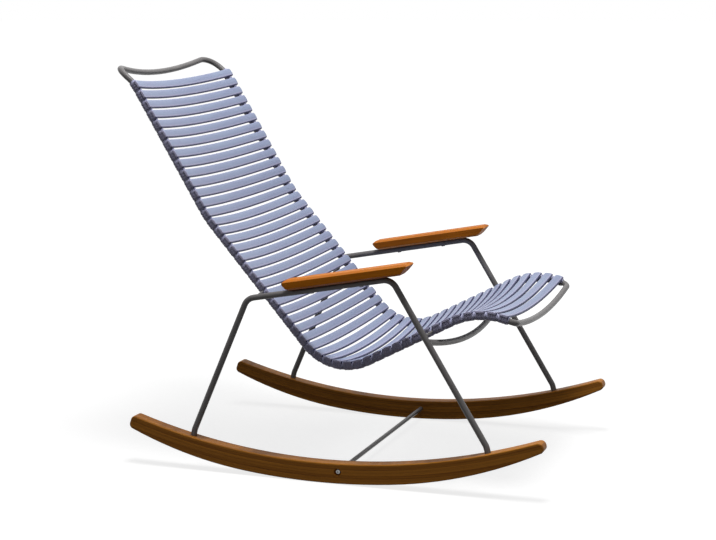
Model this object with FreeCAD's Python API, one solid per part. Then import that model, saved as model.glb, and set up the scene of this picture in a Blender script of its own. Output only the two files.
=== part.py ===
import FreeCAD, Part
import math
import os
from FreeCAD import Rotation, Vector

# Rocking chaise lounge. All lengths are millimetres.
# X points to where the sitter faces, Y to the sitter's left and Z up.
# The chair is laid out with X zero over the point where the rockers touch the floor,
# and is moved at the end so that the origin is at the bottom centre of its box.

# Steel tubes
frame_tube_diameter = 14.0
spreader_diameter = 10.0
arm_frame_spacing = 637.0
rail_spacing = 528.0

# Profile of the seat frame's rails, seen from the side
seat_corner_x = 12.0
seat_corner_height = 225.8
upper_back_angle = 59.4
lower_back_angle = 49.4
seat_rise_angle = 27.8
nose_drop_angle = 17.1
upper_back_length = 354.0
lower_back_length = 467.0
seat_length = 386.5
nose_straight = 0.5
back_bend_radius = 240.0
seat_bend_radius = 122.0
nose_bend_radius = 168.0

# Head end of the seat frame: the rails lean back once more and turn into the top bar
head_lean_angle = 38.2
head_straight = 2.1
head_bend_radius = 80.0
top_corner_radius = 42.0
top_bow_angle = 10.6
top_bow_direction = 241.5

# Foot end of the seat frame
front_corner_radius = 18.0
front_bow_angle = 9.4
front_bow_direction = 270.0

# Slats and their clips
slat_count = 48
first_slat_station = 24.9
last_slat_margin = 9.7
slat_width = 21.5
slat_thickness = 5.8
slat_crown = 1.2
slat_edge_radius = 2.0
slat_corner_radius = 4.0
slat_overhang = 10.0
slat_sag = 22.0
clip_width = 18.5
clip_wall = 2.5
clip_bore_clearance = 0.3
clip_mouth_width = 9.0
clip_mouth_angle = 35.0
collar_length = 22.6
collar_bore_clearance = 0.7
collar_wall = 1.2

# Rockers
rocker_thickness = 34.4
rocker_depth = 46.5
rocker_middle_radius = 1573.0
rocker_middle_half_length = 177.0
rocker_end_radius = 991.0
rocker_top_radius = 1501.0
rocker_rear_reach = 458.5
rocker_front_reach = 516.5
rocker_tip_radius = 12.0
rocker_tip_share = 0.48
rocker_edge_radius = 3.0

# Arm frames
rear_bend_x = -172.2
rear_bend_height = 408.4
arm_rise_angle = 10.55
arm_length = 348.8
rear_leg_lean = 23.0
front_leg_lean = 31.5
arm_bend_radius = 30.0
foot_kink_height = 15.0
foot_kink_radius = 20.0
foot_socket_depth = 28.0
socket_clearance = 0.15

# Armrests
armrest_width = 61.0
armrest_thickness = 24.0
armrest_length = 298.5
armrest_setback = 98.5
armrest_undercut = 13.5
armrest_tip_height = 18.0
armrest_top_chamfer_width = 12.0
armrest_top_chamfer_height = 4.0
armrest_bottom_chamfer_width = 12.5
armrest_bottom_chamfer_height = 5.0
armrest_top_slope_length = 7.5
armrest_plan_corner_radius = 6.0

# Front brace, mounting pins, spreader and fasteners
brace_drop_along_leg = 14.4
brace_sag = 41.8
pin_diameter = 6.0
spreader_x = 50.5
spreader_height_share = 0.58
spreader_socket_depth = 6.0
spreader_bolt_diameter = 6.0
spreader_bolt_grip = 22.0
bolt_head_diameter = 11.0
bolt_head_height = 4.5
bolt_head_dome = 1.5
bolt_key_width = 4.0
bolt_key_depth = 2.5
counterbore_diameter = 16.8
counterbore_depth = 8.0
armrest_screw_diameter = 4.0
armrest_screw_depth = 14.0
armrest_rear_screw_inset = 60.0
armrest_front_screw_inset = 120.0
screw_head_diameter = 9.0
screw_head_height = 1.2
fastener_clearance = 0.1

# How closely two edges or faces have to agree to count as the same
match_tolerance = 0.001

# What follows from the sizes above
tube_radius = frame_tube_diameter / 2
rail_y = rail_spacing / 2
arm_y = arm_frame_spacing / 2
rocker_top_centre_z = rocker_depth + rocker_top_radius
bolt_tip_y = arm_y - rocker_thickness / 2 - spreader_bolt_grip
slat_half_length = rail_y + slat_overhang
slat_bow_radius = (slat_half_length ** 2 + slat_sag ** 2) / (2 * slat_sag)
slat_middle_top = tube_radius + clip_bore_clearance + slat_thickness - slat_sag


def heading(degrees):
    """Unit vector in the XZ plane at an angle above the X axis."""
    angle = math.radians(degrees)
    return Vector(math.cos(angle), 0, math.sin(angle))


def mirrored(shape):
    """The same shape on the other side of the chair."""
    return shape.mirror(Vector(0, 0, 0), Vector(0, 1, 0))


def edges_along(shape, direction):
    """Straight edges of a shape that run along a unit direction."""
    lines = [edge for edge in shape.Edges if edge.Curve.TypeId == "Part::GeomLine"]
    return [edge for edge in lines
            if edge.tangentAt(edge.FirstParameter).cross(direction).Length < match_tolerance]


def on_side(point, y):
    """A point of the XZ plane moved to the plane at y."""
    return Vector(point.x, y, point.z)


def corner_tangent(incoming, outgoing, radius):
    """Length that the arc in a corner of a path takes from each of its two runs."""
    return radius * math.tan(incoming.getAngle(outgoing) / 2)


def corner_arc(before, corner, after, radius):
    """Start, middle and end of the arc that rounds a corner of a path."""
    incoming = (corner - before).normalize()
    outgoing = (after - corner).normalize()
    turn = incoming.getAngle(outgoing)
    tangent = corner_tangent(incoming, outgoing, radius)
    start = corner - incoming * tangent
    end = corner + outgoing * tangent
    inward = (outgoing - incoming).normalize()
    middle = corner + inward * (radius / math.cos(turn / 2) - radius)
    return start, middle, end


def rounded_path(points, radii):
    """Edges of a path of straight runs whose inner corners are rounded."""
    edges = []
    cursor = points[0]
    for index, radius in enumerate(radii):
        start, middle, end = corner_arc(points[index], points[index + 1], points[index + 2], radius)
        edges.append(Part.LineSegment(cursor, start).toShape())
        edges.append(Part.Arc(start, middle, end).toShape())
        cursor = end
    edges.append(Part.LineSegment(cursor, points[-1]).toShape())
    return edges


def tube_along(edges, radius):
    """Round bar swept along a chain of tangent edges."""
    first = edges[0]
    start = first.valueAt(first.FirstParameter)
    direction = first.tangentAt(first.FirstParameter)
    profile = Part.Wire([Part.makeCircle(radius, start, direction)])
    return Part.Wire(edges).makePipeShell([profile], True, True)


def bar_between(start, end, radius):
    """Straight round bar from one point to another."""
    return Part.makeCylinder(radius, (end - start).Length, start, end - start)


def point_at(edges, station):
    """Point and direction at a distance along a chain of edges."""
    for edge in edges:
        if station <= edge.Length:
            parameter = edge.getParameterByLength(station)
            return edge.valueAt(parameter), edge.tangentAt(parameter)
        station -= edge.Length
    last = edges[-1]
    return last.valueAt(last.LastParameter), last.tangentAt(last.LastParameter)


def line_crossing(point_a, direction_a, point_b, direction_b):
    """Crossing of two lines of the XZ plane."""
    cross = direction_a.x * direction_b.z - direction_a.z * direction_b.x
    gap = point_b - point_a
    reach = (gap.x * direction_b.z - gap.z * direction_b.x) / cross
    return point_a + direction_a * reach


def crossbar_direction(bow_angle, bow_direction):
    """Direction in which a bowed crossbar leaves its corner on the left rail."""
    angle = math.radians(bow_angle)
    return Vector(0, -math.cos(angle), 0) + heading(bow_direction) * math.sin(angle)


def rail_corners():
    """Corner points of the rail's profile, from the head end to the foot end.

    The runs at both ends are as long as the bends at their ends and a straight piece between.
    """
    seat = Vector(seat_corner_x, 0, seat_corner_height)
    back = seat + heading(180 - lower_back_angle) * lower_back_length
    upper = heading(180 - upper_back_angle)
    neck = back + upper * upper_back_length
    lean = heading(180 - head_lean_angle)
    top_bar = crossbar_direction(top_bow_angle, top_bow_direction)
    head = neck + lean * (corner_tangent(upper, lean, head_bend_radius) + head_straight
                          + corner_tangent(lean, top_bar, top_corner_radius))
    rise = heading(seat_rise_angle)
    nose = seat + rise * seat_length
    drop = heading(-nose_drop_angle)
    front_bar = crossbar_direction(front_bow_angle, front_bow_direction)
    foot = nose + drop * (corner_tangent(rise, drop, nose_bend_radius) + nose_straight
                          + corner_tangent(drop, front_bar, front_corner_radius))
    return head, neck, back, seat, nose, foot


def crossbar_half(corner, rail_direction, corner_radius, bow_angle, bow_direction):
    """Corner arc and half of the bowed crossbar, from the rail to the middle of the chair.

    rail_direction points from the rail towards the corner.
    """
    bow = heading(bow_direction)
    angle = math.radians(bow_angle)
    across = crossbar_direction(bow_angle, bow_direction)
    start, middle, end = corner_arc(corner - rail_direction, corner, corner + across, corner_radius)
    sag = end.y * math.tan(angle / 2)
    centre = Vector(end.x, 0, end.z) + bow * sag
    half_angle = angle / 2
    chord = Vector(0, -math.cos(half_angle), 0) + bow * math.sin(half_angle)
    bar_radius = end.y / math.sin(angle)
    side = (across.cross(chord)).cross(across).normalize()
    bar_centre = end + side * bar_radius
    quarter = (end + centre) * 0.5 - bar_centre
    bar_middle = bar_centre + quarter.normalize() * bar_radius
    return Part.Arc(start, middle, end).toShape(), Part.Arc(end, bar_middle, centre).toShape(), start


def rail_edges():
    """Left rail of the seat frame as edges, from the top corner's arc to the front corner's."""
    head, neck, back, seat, nose, foot = [on_side(point, rail_y) for point in rail_corners()]
    head_start = crossbar_half(head, (head - neck).normalize(), top_corner_radius,
                               top_bow_angle, top_bow_direction)[2]
    foot_start = crossbar_half(foot, (foot - nose).normalize(), front_corner_radius,
                               front_bow_angle, front_bow_direction)[2]
    corners = [head_start, neck, back, seat, nose, foot_start]
    radii = [head_bend_radius, back_bend_radius, seat_bend_radius, nose_bend_radius]
    return rounded_path(corners, radii)


def reversed_arc(edge):
    """The same arc run from its other end."""
    first, last = edge.FirstParameter, edge.LastParameter
    middle = edge.valueAt((first + last) / 2)
    return Part.Arc(edge.valueAt(last), middle, edge.valueAt(first)).toShape()


def seat_frame():
    """Closed loop of bent tube: two rails, the top bar and the front bar."""
    head, neck, back, seat, nose, foot = [on_side(point, rail_y) for point in rail_corners()]
    top_corner, top_bar, _ = crossbar_half(head, (head - neck).normalize(), top_corner_radius,
                                           top_bow_angle, top_bow_direction)
    front_corner, front_bar, _ = crossbar_half(foot, (foot - nose).normalize(), front_corner_radius,
                                               front_bow_angle, front_bow_direction)
    edges = [reversed_arc(top_bar), reversed_arc(top_corner)] + rail_edges() + [front_corner, front_bar]
    half = tube_along(edges, tube_radius)
    return half.fuse(mirrored(half))


def slat_body():
    """Bowed strip with a crowned top and rounded edges, its ends square to the bow."""
    half_width = slat_width / 2
    top = slat_middle_top
    corners = [Vector(-half_width, 0, top - slat_crown), Vector(-half_width, 0, top - slat_thickness),
               Vector(half_width, 0, top - slat_thickness), Vector(half_width, 0, top - slat_crown)]
    sides = Part.makePolygon(corners)
    crown = Part.Arc(corners[-1], Vector(0, 0, top), corners[0]).toShape()
    across = Vector(0, 1, 0)
    block = Part.Face(Part.Wire(sides.Edges + [crown])).extrude(across)
    rounded = block.makeFillet(slat_edge_radius, edges_along(block, across))
    face = [item for item in rounded.Faces if abs(item.CenterOfMass.y) < match_tolerance][0]
    half_turn = math.degrees(math.asin(slat_half_length / slat_bow_radius))
    axis_point = Vector(0, 0, top + slat_bow_radius)
    face.rotate(axis_point, Vector(1, 0, 0), -half_turn)
    return face.revolve(axis_point, Vector(1, 0, 0), 2 * half_turn)


def slat_plan():
    """Upright block with the slat's rounded corners in plan, as long as its underside."""
    reach = slat_half_length * (1 + slat_thickness / slat_bow_radius)
    low = slat_middle_top - 2 * slat_thickness
    high = slat_middle_top + slat_sag + slat_thickness
    block = Part.makeBox(slat_width, 2 * reach, high - low, Vector(-slat_width / 2, -reach, low))
    return block.makeFillet(slat_corner_radius, edges_along(block, Vector(0, 0, 1)))


def rail_bar(side, radius, length):
    """Round bar on a rail's axis, as long to both sides of a slat's middle."""
    return Part.makeCylinder(radius, length, Vector(-length / 2, side * rail_y, 0), Vector(1, 0, 0))


def clip_block(side):
    """Clip under one end of a slat before its bore: a round bar below and a square pad above."""
    outer_radius = tube_radius + clip_bore_clearance + clip_wall
    round_bar = rail_bar(side, outer_radius, clip_width)
    pad_height = tube_radius + clip_bore_clearance + slat_thickness / 2
    pad = Part.makeBox(clip_width, 2 * outer_radius, pad_height,
                       Vector(-clip_width / 2, side * rail_y - outer_radius, 0))
    return round_bar.fuse(pad)


def collar_ends(side):
    """Two thin rings round the rail that stand out from a clip's faces towards its neighbours."""
    bore_radius = tube_radius + collar_bore_clearance
    depth = (collar_length - clip_width) / 2
    rings = []
    for start_x in (-collar_length / 2, clip_width / 2):
        start = Vector(start_x, side * rail_y, 0)
        outside = Part.makeCylinder(bore_radius + collar_wall, depth, start, Vector(1, 0, 0))
        rings.append(outside.cut(Part.makeCylinder(bore_radius, depth, start, Vector(1, 0, 0))))
    return rings


def clip_mouth(side):
    """Slot on the inner side through which the rail is pressed into a clip and its collar."""
    slope = math.atan2(2 * slat_sag * rail_y, slat_half_length ** 2 - slat_sag ** 2)
    mouth = Part.makeBox(collar_length, slat_width, clip_mouth_width,
                         Vector(-collar_length / 2, 0, -clip_mouth_width / 2))
    mouth.rotate(Vector(0, 0, 0), Vector(1, 0, 0), 180 + clip_mouth_angle + math.degrees(slope))
    mouth.translate(Vector(0, rail_y, 0))
    return mouth if side > 0 else mirrored(mouth)


def slat():
    """One slat with its two clips and their collars, laid out about the rail's axis at the origin."""
    strip = slat_body()
    for side in (1, -1):
        strip = strip.cut(rail_bar(side, tube_radius + collar_bore_clearance, slat_width))
    body = strip.fuse([clip_block(1), clip_block(-1)]).common(slat_plan())
    for side in (1, -1):
        bore = rail_bar(side, tube_radius + clip_bore_clearance, clip_width)
        body = body.cut(bore).fuse(collar_ends(side)).cut(clip_mouth(side))
    return body.removeSplitter()


def slat_pitch(edges):
    """Distance along the rails from slat to slat that spaces them evenly."""
    rail_length = sum(edge.Length for edge in edges)
    return (rail_length - first_slat_station - last_slat_margin) / (slat_count - 1)


def slat_place(edges, station):
    """Centre and turn of the slat whose middle is at a distance along the rail."""
    before, _ = point_at(edges, station - clip_width / 2)
    middle, _ = point_at(edges, station)
    after, _ = point_at(edges, station + clip_width / 2)
    along = after - before
    centre = ((before + after) * 0.5 + middle) * 0.5
    turn = math.degrees(math.atan2(-along.z, along.x))
    return FreeCAD.Placement(on_side(centre, 0), Rotation(Vector(0, 1, 0), turn))


def slats():
    """All the slats by name, spaced evenly along the rails from the head end."""
    edges = rail_edges()
    pitch = slat_pitch(edges)
    model = slat()
    placed = {}
    for index in range(slat_count):
        station = first_slat_station + index * pitch
        copy = model.copy()
        copy.Placement = slat_place(edges, station)
        placed["slat_%02d" % (index + 1)] = copy
    return placed


def gap_station(edges, point):
    """Distance along the rail of the slat gap nearest to a point."""
    pitch = slat_pitch(edges)
    stations = [first_slat_station + pitch / 2 + index * pitch for index in range(slat_count - 1)]
    return min(stations, key=lambda station: (on_side(point_at(edges, station)[0], 0) - point).Length)


def foot_axis(leg_top, leg_direction):
    """Kink and end of a foot that stands square to the rocker's top.

    The kink is where the leg's line reaches its height above the rocker.
    """
    centre = Vector(0, 0, rocker_top_centre_z)
    reach = rocker_top_radius - foot_kink_height
    offset = leg_top - centre
    along = offset.dot(leg_direction)
    distance = -along + math.sqrt(along ** 2 - offset.dot(offset) + reach ** 2)
    kink = leg_top + leg_direction * distance
    outward = (kink - centre).normalize()
    return kink, centre + outward * (rocker_top_radius + foot_socket_depth), outward


def arm_points():
    """Corner points of an arm frame, from the rear foot over the arm to the front foot."""
    rear_bend = Vector(rear_bend_x, 0, rear_bend_height)
    front_bend = rear_bend + heading(arm_rise_angle) * arm_length
    rear_kink, rear_end, _ = foot_axis(rear_bend, heading(270 - rear_leg_lean))
    front_kink, front_end, _ = foot_axis(front_bend, heading(270 + front_leg_lean))
    return rear_end, rear_kink, rear_bend, front_bend, front_kink, front_end


def arm_frame():
    """Left arm frame: rear leg, arm and front leg bent from one tube."""
    points = [on_side(point, arm_y) for point in arm_points()]
    radii = [foot_kink_radius, arm_bend_radius, arm_bend_radius, foot_kink_radius]
    frame = tube_along(rounded_path(points, radii), tube_radius)
    for start, axis in armrest_screw_lines():
        hole_radius = armrest_screw_diameter / 2 + fastener_clearance
        reach = axis * (2 * tube_radius)
        frame = frame.cut(bar_between(start - reach, start + reach, hole_radius))
    return frame


def rocker_outline():
    """Outline of a rocker seen from the side."""
    middle_turn = math.asin(rocker_middle_half_length / rocker_middle_radius)
    bottom_end_z = rocker_middle_radius * (1 - math.cos(middle_turn))
    offset = (rocker_middle_radius - rocker_end_radius) * math.sin(middle_turn)
    height = rocker_middle_radius - (rocker_middle_radius - rocker_end_radius) * math.cos(middle_turn)

    def bottom(x):
        centre_x = math.copysign(offset, x)
        return Vector(x, 0, height - math.sqrt(rocker_end_radius ** 2 - (x - centre_x) ** 2))

    def top(x):
        return Vector(x, 0, rocker_top_centre_z - math.sqrt(rocker_top_radius ** 2 - x ** 2))

    def foot_of_end(x):
        slope = math.asin(x / rocker_top_radius)
        depth = top(x).z - bottom(x).z
        return bottom(x + depth * math.sin(slope) * math.cos(slope))

    rear = -rocker_rear_reach
    front = rocker_front_reach
    rear_foot = foot_of_end(rear)
    front_foot = foot_of_end(front)
    left = Vector(-rocker_middle_half_length, 0, bottom_end_z)
    right = Vector(rocker_middle_half_length, 0, bottom_end_z)
    edges = [
        Part.Arc(rear_foot, bottom((rear_foot.x + left.x) / 2), left).toShape(),
        Part.Arc(left, Vector(0, 0, 0), right).toShape(),
        Part.Arc(right, bottom((front_foot.x + right.x) / 2), front_foot).toShape(),
        Part.LineSegment(front_foot, top(front)).toShape(),
        Part.Arc(top(front), top(0), top(rear)).toShape(),
        Part.LineSegment(top(rear), rear_foot).toShape(),
    ]
    return Part.Wire(edges)


def spreader_height():
    """Height of the spreader's axis: its share of the rocker's depth at that place."""
    top = rocker_top_centre_z - math.sqrt(rocker_top_radius ** 2 - spreader_x ** 2)
    bottom = rocker_middle_radius - math.sqrt(rocker_middle_radius ** 2 - spreader_x ** 2)
    return bottom + (top - bottom) * spreader_height_share


def rocker():
    """Left rocker with sockets for the two feet and for the spreader and its bolt."""
    inner_y = arm_y - rocker_thickness / 2
    outer_y = arm_y + rocker_thickness / 2
    outline = rocker_outline()
    outline.translate(Vector(0, inner_y, 0))
    board = Part.Face(outline).extrude(Vector(0, rocker_thickness, 0))
    across = Vector(0, 1, 0)
    tips = [edge for edge in edges_along(board, across)
            if abs(edge.CenterOfMass.x) > rocker_middle_half_length + match_tolerance]
    ends = [edge for edge in outline.Edges if edge.Curve.TypeId == "Part::GeomLine"]
    tip_limit = min(edge.Length for edge in ends) * rocker_tip_share
    board = board.makeFillet(min(rocker_tip_radius, tip_limit), tips)
    rims = [edge for edge in board.Edges if edge.BoundBox.YLength < match_tolerance]
    board = board.makeFillet(rocker_edge_radius, rims)
    rear_end, rear_kink, _, _, front_kink, front_end = [on_side(point, arm_y) for point in arm_points()]
    for end, kink in ((rear_end, rear_kink), (front_end, front_kink)):
        inward = (end - kink).normalize() * socket_clearance
        board = board.cut(bar_between(kink, end + inward, tube_radius + socket_clearance))
    height = spreader_height()
    inner = Vector(spreader_x, inner_y, height)
    outer = Vector(spreader_x, outer_y, height)
    socket = bar_between(inner, inner + across * spreader_socket_depth,
                         spreader_diameter / 2 + socket_clearance)
    passage = bar_between(inner, outer, spreader_bolt_diameter / 2 + fastener_clearance)
    recess = bar_between(outer - across * counterbore_depth, outer, counterbore_diameter / 2)
    return board.cut([socket, passage, recess])


def spreader():
    """Round bar between the rockers, drilled at both ends for its bolts."""
    height = spreader_height()
    reach = arm_y - rocker_thickness / 2 + spreader_socket_depth
    end = Vector(spreader_x, reach, height)
    bar = bar_between(Vector(spreader_x, -reach, height), end, spreader_diameter / 2)
    hole = bar_between(Vector(spreader_x, bolt_tip_y - fastener_clearance, height), end,
                       spreader_bolt_diameter / 2 + fastener_clearance)
    return bar.cut([hole, mirrored(hole)])


def spreader_bolts():
    """The two bolts that hold the spreader, heads sunk in the rockers' outer faces."""
    height = spreader_height()
    seat_y = arm_y + rocker_thickness / 2 - counterbore_depth
    seat = Vector(spreader_x, seat_y, height)
    across = Vector(0, 1, 0)
    shank = bar_between(Vector(spreader_x, bolt_tip_y, height), seat, spreader_bolt_diameter / 2)
    head_end = seat + across * bolt_head_height
    head = bar_between(seat, head_end, bolt_head_diameter / 2)
    rim = [edge for edge in head.Edges if abs(edge.CenterOfMass.y - head_end.y) < match_tolerance]
    head = head.makeFillet(bolt_head_dome, rim)
    hexagon = [head_end + heading(60 * corner) * (bolt_key_width / math.sqrt(3)) for corner in range(6)]
    key = Part.Face(Part.makePolygon(hexagon + hexagon[:1])).extrude(across * -bolt_key_depth)
    bolt = shank.fuse(head.cut(key)).removeSplitter()
    return Part.makeCompound([bolt, mirrored(bolt)])


def arm_axes():
    """Rear bend, direction along the arm and direction square to it, upwards."""
    _, _, rear_bend, _, _, _ = arm_points()
    return on_side(rear_bend, arm_y), heading(arm_rise_angle), heading(arm_rise_angle + 90)


def armrest_screw_lines():
    """Where each armrest screw crosses the arm's axis, and the screw's direction."""
    origin, along, upward = arm_axes()
    first = armrest_setback + armrest_rear_screw_inset
    last = armrest_setback + armrest_length - armrest_front_screw_inset
    return [(origin + along * first, upward), (origin + along * last, upward)]


def armrest():
    """Left armrest: a faceted wooden bar on top of the arm, undercut at both ends."""
    origin, along, upward = arm_axes()
    base = origin + along * armrest_setback + upward * tube_radius
    half_width = armrest_width / 2

    def at(reach, height):
        return base + along * reach + upward * height

    side_points = [at(armrest_undercut, 0),
                   at(armrest_length - armrest_undercut - armrest_top_slope_length, 0),
                   at(armrest_length, armrest_tip_height),
                   at(armrest_length - armrest_top_slope_length, armrest_thickness),
                   at(armrest_top_slope_length, armrest_thickness), at(0, armrest_tip_height)]
    side_face = Part.Face(Part.makePolygon(side_points + side_points[:1]))
    side_face.translate(Vector(0, -half_width, 0))
    profile = side_face.extrude(Vector(0, armrest_width, 0))

    def across(y, height):
        return base + Vector(0, y, 0) + upward * height

    low = armrest_bottom_chamfer_height
    high = armrest_thickness - armrest_top_chamfer_height
    flat = half_width - armrest_bottom_chamfer_width
    crown = half_width - armrest_top_chamfer_width
    section_points = [across(-flat, 0), across(flat, 0), across(half_width, low), across(half_width, high),
                      across(crown, armrest_thickness), across(-crown, armrest_thickness),
                      across(-half_width, high), across(-half_width, low)]
    section = Part.Face(Part.makePolygon(section_points + section_points[:1]))
    bar = section.extrude(along * armrest_length)
    plan = Part.makeBox(armrest_length, armrest_width, armrest_thickness)
    plan = plan.makeFillet(armrest_plan_corner_radius, edges_along(plan, Vector(0, 0, 1)))
    plan.rotate(Vector(0, 0, 0), Vector(0, 1, 0), -arm_rise_angle)
    plan.translate(base - Vector(0, half_width, 0))
    board = profile.common(bar).common(plan)
    for start, axis in armrest_screw_lines():
        depth = tube_radius + armrest_screw_depth + fastener_clearance
        board = board.cut(bar_between(start, start + axis * depth, armrest_screw_diameter / 2))
    return board


def armrest_screws():
    """The four screws that hold the armrests from below, through the arms."""
    screws = []
    for start, axis in armrest_screw_lines():
        bottom = start - axis * tube_radius
        shank = bar_between(bottom, start + axis * (tube_radius + armrest_screw_depth),
                            armrest_screw_diameter / 2 - fastener_clearance)
        head_end = bottom - axis * screw_head_height
        head = bar_between(head_end, start, screw_head_diameter / 2)
        origin, along, _ = arm_axes()
        arm = bar_between(origin, origin + along * arm_length, tube_radius)
        screw = head.cut(arm).fuse(shank)
        screws += [screw, mirrored(screw)]
    return Part.makeCompound(screws)


def front_brace():
    """Bowed bar between the front legs, under the seat, its ends shaped to the legs."""
    _, _, _, front_bend, front_kink, _ = arm_points()
    _, _, _, seat, nose, _ = rail_corners()
    down = (front_kink - front_bend).normalize()
    crossing = line_crossing(front_bend, down, seat, nose - seat)
    end = crossing + down * brace_drop_along_leg
    arc = Part.Arc(on_side(end, arm_y), end + down * brace_sag, on_side(end, -arm_y)).toShape()
    left_leg = bar_between(on_side(front_bend, arm_y), on_side(front_kink, arm_y),
                           tube_radius + socket_clearance)
    return tube_along([arc], tube_radius).cut([left_leg, mirrored(left_leg)])


def mounting_pins(frames):
    """The four pins that join the rails to the arm frames where they cross, seen from the side."""
    edges = rail_edges()
    _, _, rear_bend, front_bend, front_kink, _ = arm_points()
    _, _, back, seat, nose, _ = rail_corners()
    arm = (rear_bend, (front_bend - rear_bend).normalize())
    leg = (front_bend, (front_kink - front_bend).normalize())
    pins = []
    for (start, direction), rail_start, rail_end in ((arm, back, seat), (leg, seat, nose)):
        crossing = line_crossing(start, direction, rail_start, rail_end - rail_start)
        rail_point, _ = point_at(edges, gap_station(edges, crossing))
        nearest = start + direction * (on_side(rail_point, 0) - start).dot(direction)
        pin = bar_between(rail_point, on_side(nearest, arm_y), pin_diameter / 2).cut(frames)
        pins += [pin, mirrored(pin)]
    return Part.makeCompound(pins)


def build():
    """Every piece of the chair by name."""
    left_arm = arm_frame()
    right_arm = mirrored(left_arm)
    frame = seat_frame()
    left_rocker = rocker()
    left_armrest = armrest()
    pieces = {
        "seat_frame": frame,
        "left_arm_frame": left_arm,
        "right_arm_frame": right_arm,
        "front_brace": front_brace(),
        "seat_mounting_pins": mounting_pins([left_arm, right_arm, frame]),
        "left_rocker": left_rocker,
        "right_rocker": mirrored(left_rocker),
        "rocker_spreader": spreader(),
        "spreader_bolts": spreader_bolts(),
        "left_armrest": left_armrest,
        "right_armrest": mirrored(left_armrest),
        "armrest_screws": armrest_screws(),
    }
    pieces.update(slats())
    return pieces


def main():
    """Build the pieces, put the origin under the middle of the chair and write the files."""
    pieces = build()
    box = FreeCAD.BoundBox()
    for shape in pieces.values():
        box.add(shape.optimalBoundingBox(False, False))
    os.makedirs("parts", exist_ok=True)
    for name, shape in pieces.items():
        shape.translate(Vector(-box.Center.x, 0, -box.ZMin))
        shape.exportStep("parts/" + name + ".step")


main()
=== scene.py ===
import logging
import math
from dataclasses import dataclass, field
from enum import Enum

import bpy
import numpy as np
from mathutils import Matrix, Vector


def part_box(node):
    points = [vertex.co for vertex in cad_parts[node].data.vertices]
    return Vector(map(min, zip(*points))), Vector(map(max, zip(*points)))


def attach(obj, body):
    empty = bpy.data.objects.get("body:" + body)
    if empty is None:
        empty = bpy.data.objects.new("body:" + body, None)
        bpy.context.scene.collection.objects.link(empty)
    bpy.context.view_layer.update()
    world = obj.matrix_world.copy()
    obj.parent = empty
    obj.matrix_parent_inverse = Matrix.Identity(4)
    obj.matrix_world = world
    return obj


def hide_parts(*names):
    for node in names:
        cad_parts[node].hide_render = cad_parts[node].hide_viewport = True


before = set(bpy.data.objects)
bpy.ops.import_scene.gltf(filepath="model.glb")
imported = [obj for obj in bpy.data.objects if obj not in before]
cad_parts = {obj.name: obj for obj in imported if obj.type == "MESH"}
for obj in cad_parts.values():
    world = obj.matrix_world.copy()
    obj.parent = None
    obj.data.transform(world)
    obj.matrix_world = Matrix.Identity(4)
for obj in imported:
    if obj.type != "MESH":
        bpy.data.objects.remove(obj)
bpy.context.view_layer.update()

Array = np.ndarray
Material = bpy.types.Material
Object = bpy.types.Object
Socket = bpy.types.NodeSocket
Pair = tuple[float, float]
Triple = tuple[float, float, float]
# A value's low and high, and what the two become.
Span = tuple[float, float, float, float]

LOG = logging.getLogger("chaise")
MM = 0.001
TUBE_RADIUS = 7.0 * MM
SPREADER_LEAD = 50.5 * MM
ARM_RISE = 10.55
NOISE_SPAN = (0.3, 0.7)
ROOT_BODY = "root"
# Slat attribute: 0 plain, 1 the paler clip tone (painted light), 2 the deep tone on the sides (painted
# shade).
PAINTED_LIGHT_AND_SHADE = "painted_light_and_shade"


class Slot(Enum):
    """Material slot names passed with the new pieces; nothing reads them."""

    SLAT = "slat_plastic"
    ARMREST = "armrest_wood"


class Side(Enum):
    """The two sides of the chair; the value is the sign of Y."""

    LEFT = 1
    RIGHT = -1


def spokes(angles: Array | float) -> Array:
    """Unit vectors (cos, sin) at angles in radians."""
    return np.stack([np.cos(angles), np.sin(angles)], axis=-1)


def quarter_turn(count: int) -> Array:
    """Evenly spaced angles from 0 to a right angle, in radians."""
    return np.linspace(0.0, math.pi / 2, count)


def unit_heading(degrees: float) -> Array:
    """Unit vector (x, z) at an angle above the X axis."""
    return spokes(math.radians(degrees))


def side_matrix(along: Array, origin: Array, y: float = 0.0) -> Array:
    """Matrix that lays a piece along a direction of the side view.

    Args:
        along: Unit direction (x, z) that the piece's X axis takes; its Z axis stands square to it.
        origin: Where the piece's origin goes, (x, z).
        y: The origin's Y.

    Returns:
        A 4 by 4 matrix.
    """
    matrix = np.eye(4)
    matrix[:3, 0] = (along[0], 0.0, along[1])
    matrix[:3, 2] = (-along[1], 0.0, along[0])
    matrix[:3, 3] = (origin[0], y, origin[1])
    return matrix


def roll_point_x() -> float:
    """X of the line where the rockers touch the floor: the spreader's axis less its lead."""
    low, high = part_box("rocker_spreader")
    return (low[0] + high[0]) / 2 - SPREADER_LEAD


def add_object(name: str, data: bpy.types.ID) -> Object:
    """Put data into a new object at the origin.

    Args:
        name: The object's name.
        data: Its mesh, lamp or camera.

    Returns:
        The object, linked to the scene.
    """
    made = bpy.data.objects.new(name, data)
    bpy.context.scene.collection.objects.link(made)
    return made


def grid_faces(rings: int, around: int) -> Array:
    """Quads of a grid of rings, each ring closed on itself.

    Vertex (i, j) has the index i * around + j. Quad (i, j) joins ring i to ring i + 1.

    Args:
        rings: Number of rings.
        around: Number of points on each ring.

    Returns:
        Array of shape (quads, 4).
    """
    i, j = np.meshgrid(np.arange(rings - 1), np.arange(around), indexing="ij")
    k = (j + 1) % around
    quads = np.stack([i * around + j, i * around + k, (i + 1) * around + k, (i + 1) * around + j], axis=-1)
    return quads.reshape(-1, 4)


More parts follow.
